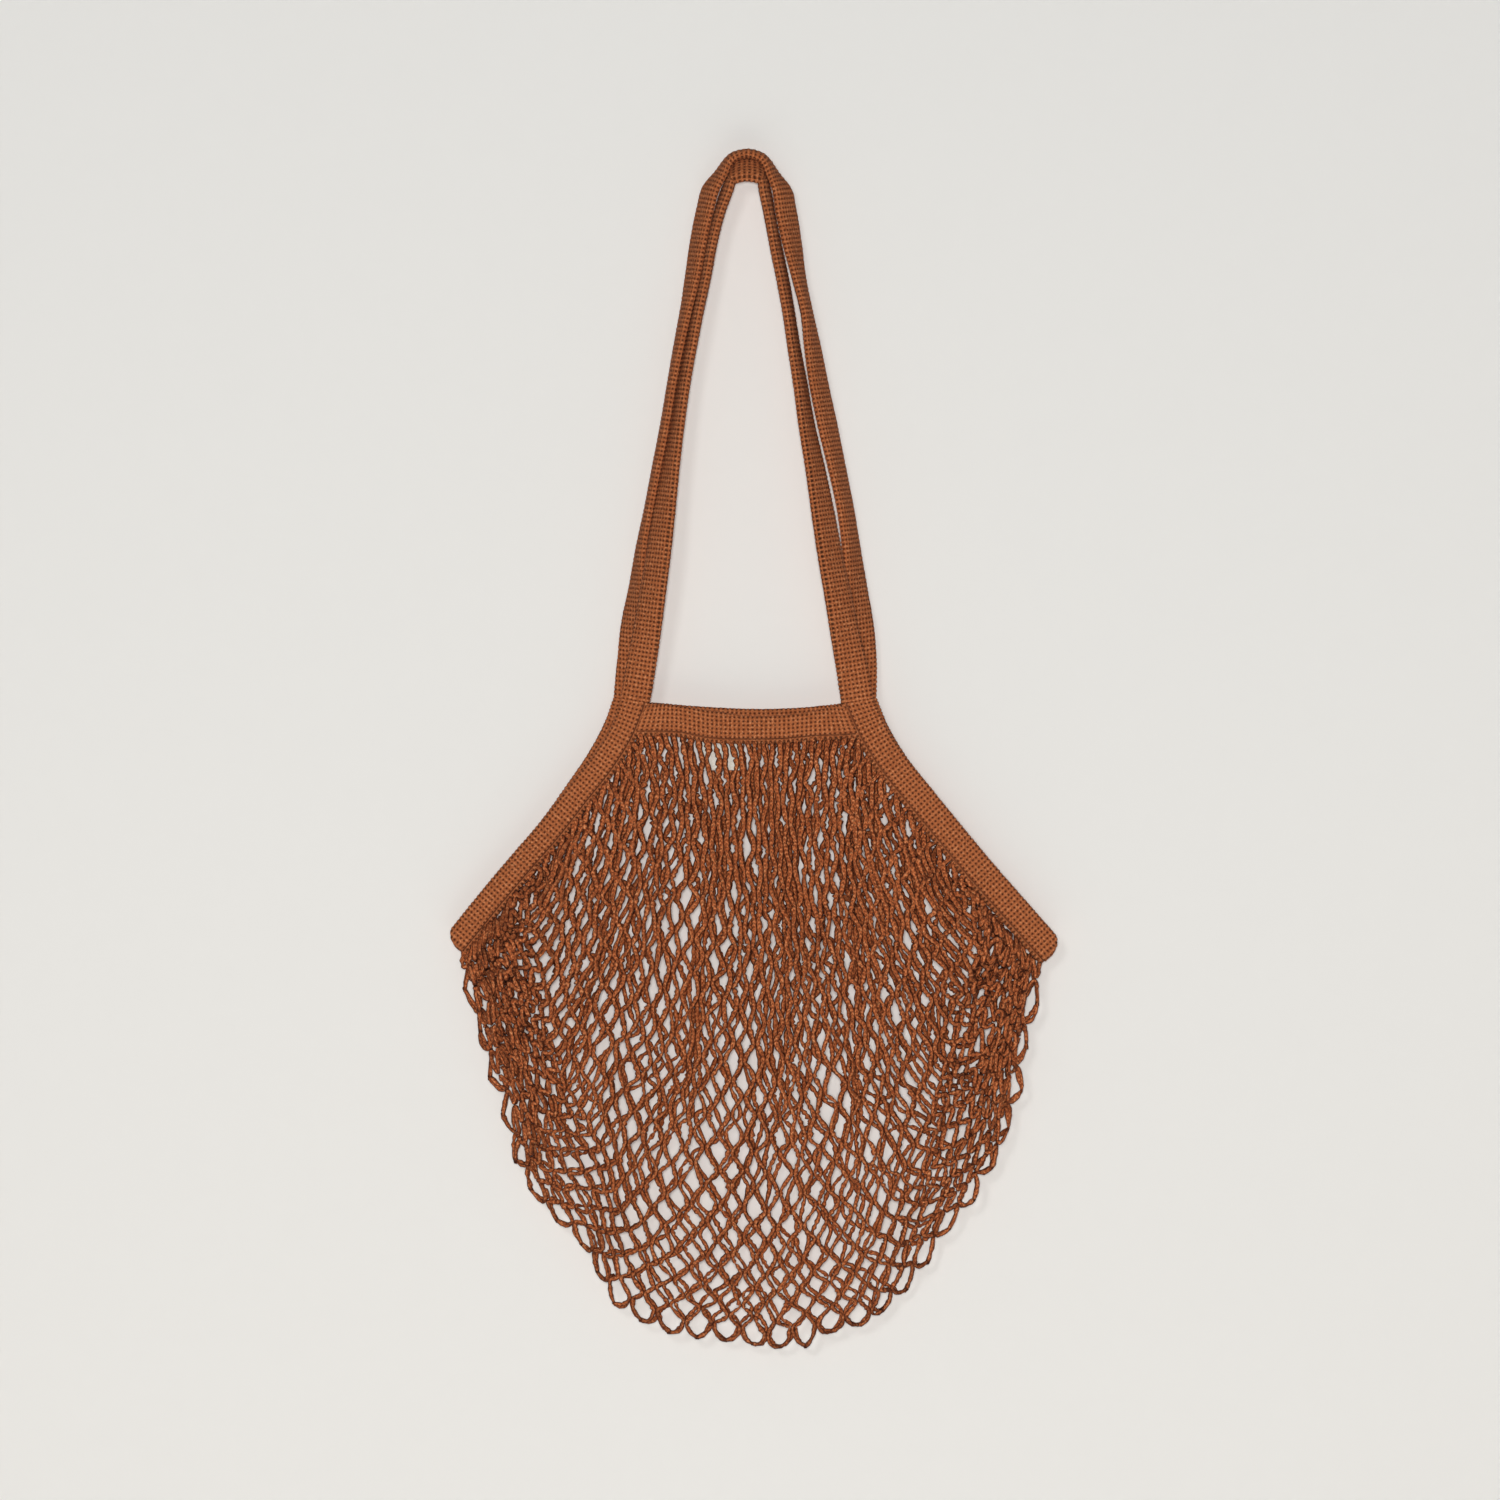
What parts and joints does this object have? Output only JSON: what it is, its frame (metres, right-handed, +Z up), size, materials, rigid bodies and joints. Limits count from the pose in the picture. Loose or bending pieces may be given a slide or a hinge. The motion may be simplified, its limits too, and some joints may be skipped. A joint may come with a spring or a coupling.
{
  "type": "string shopping bag",
  "caption": "Knitted cotton string shopping bag with a wide-mesh pouch, knitted bands round the mouth and sides and two long handles, hanging empty.",
  "frame": {"origin": "on top of the peg that the two handles hang over", "axes": "+Z up, -Y towards the viewer in front of the bag, +X to the viewer's right; the wall behind the bag is on the +Y side"},
  "size_m": [0.3664, 0.0398, 0.7166],
  "materials": {
    "knitted_tape": "matt waffle-knitted cotton tape, rust brown",
    "cotton_net": "matt twisted cotton string, rust brown",
    "label_cotton": "matt woven cotton, off-white"
  },
  "bodies": {
    "root": {"front_handle": "knitted_tape", "back_handle": "knitted_tape", "left_side_band": "knitted_tape", "right_side_band": "knitted_tape", "front_mouth_band": "knitted_tape", "back_mouth_band": "knitted_tape", "front_net": "cotton_net", "back_net": "cotton_net", "label": "label_cotton"}
  },
  "joints": []
}
